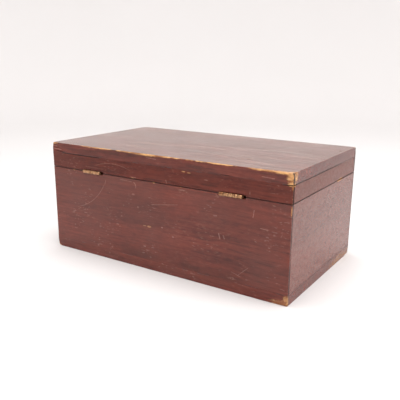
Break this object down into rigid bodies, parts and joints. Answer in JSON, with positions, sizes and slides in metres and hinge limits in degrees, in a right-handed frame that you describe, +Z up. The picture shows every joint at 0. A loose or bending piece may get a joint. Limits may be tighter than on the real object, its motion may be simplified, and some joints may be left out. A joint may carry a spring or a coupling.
{
  "type": "fountain pen case",
  "caption": "Plain wooden box with a lid on small butt hinges, a swing hook at the front and a lift-out tray with lanes for pens.",
  "frame": {"origin": "middle of the bottom board's underside, on the surface that the case stands on", "axes": "+X along the case's length, towards the right end when it is seen from the front; -Y towards the front with the hook, +Y towards the hinges; +Z up"},
  "size_m": [0.3, 0.177, 0.1255],
  "materials": {
    "stained_wood": "worn reddish-brown stain under a thin satin lacquer, grain along the length",
    "plain_wood": "plain unlacquered wood, lightly sanded",
    "brass": "aged brass, dull with brighter worn knuckles",
    "steel_nail": "darkened steel",
    "felt": "thin woollen felt",
    "leather": "plain brown leather"
  },
  "bodies": {
    "case": {"bottom_board": "stained_wood", "front_board": "stained_wood", "back_board": "stained_wood", "left_end_board": "stained_wood", "right_end_board": "stained_wood", "tray_ledge_left": "plain_wood", "tray_ledge_right": "plain_wood", "bottom_nail_left_front": "steel_nail", "bottom_nail_left_back": "steel_nail", "bottom_nail_right_front": "steel_nail", "bottom_nail_right_back": "steel_nail", "bottom_nail_front_middle": "steel_nail", "bottom_nail_back_middle": "steel_nail", "hinge_right_case_leaf": "brass", "hinge_left_case_leaf": "brass", "hinge_right_pin": "brass", "hinge_left_pin": "brass", "hinge_right_case_screw_left": "brass", "hinge_right_case_screw_right": "brass", "hinge_left_case_screw_left": "brass", "hinge_left_case_screw_right": "brass", "catch_washer": "brass", "catch_pivot_screw": "brass"},
    "lid": {"lid_top_board": "stained_wood", "lid_front_rail": "stained_wood", "lid_back_rail": "stained_wood", "lid_left_rail": "stained_wood", "lid_right_rail": "stained_wood", "lid_nail_left_front": "steel_nail", "lid_nail_left_back": "steel_nail", "lid_nail_right_front": "steel_nail", "lid_nail_right_back": "steel_nail", "lid_nail_front_middle": "steel_nail", "lid_nail_back_middle": "steel_nail", "hinge_right_lid_leaf": "brass", "hinge_left_lid_leaf": "brass", "hinge_right_lid_screw_left": "brass", "hinge_right_lid_screw_right": "brass", "hinge_left_lid_screw_left": "brass", "hinge_left_lid_screw_right": "brass", "catch_keeper_screw": "brass"},
    "hook": {"catch_hook": "brass"},
    "pen_tray": {"tray_floor": "plain_wood", "tray_front_wall": "plain_wood", "tray_back_wall": "plain_wood", "tray_left_wall": "plain_wood", "tray_right_wall": "plain_wood", "tray_divider_1": "plain_wood", "tray_divider_2": "plain_wood", "tray_divider_3": "plain_wood", "tray_divider_4": "plain_wood", "tray_divider_5": "plain_wood", "tray_divider_6": "plain_wood", "tray_divider_7": "plain_wood", "tray_divider_8": "plain_wood", "tray_divider_9": "plain_wood", "tray_liner": "felt", "tray_pull_tab_left": "leather", "tray_pull_tab_right": "leather"}
  },
  "joints": [
    {"name": "lid_hinge", "type": "hinge", "parent": "case", "child": "lid", "pos_m": [0, 0.086, 0.0974], "axis": [-1, 0, 0], "range_deg": [0, 180]},
    {"name": "hook_pivot", "type": "hinge", "parent": "case", "child": "hook", "pos_m": [0, -0.0868, 0.0864], "axis": [0, 1, 0], "range_deg": [0, 180]},
    {"name": "tray_lift", "type": "slide", "parent": "case", "child": "pen_tray", "axis": [0, 0, 1], "range_m": [0, 0.017]}
  ]
}
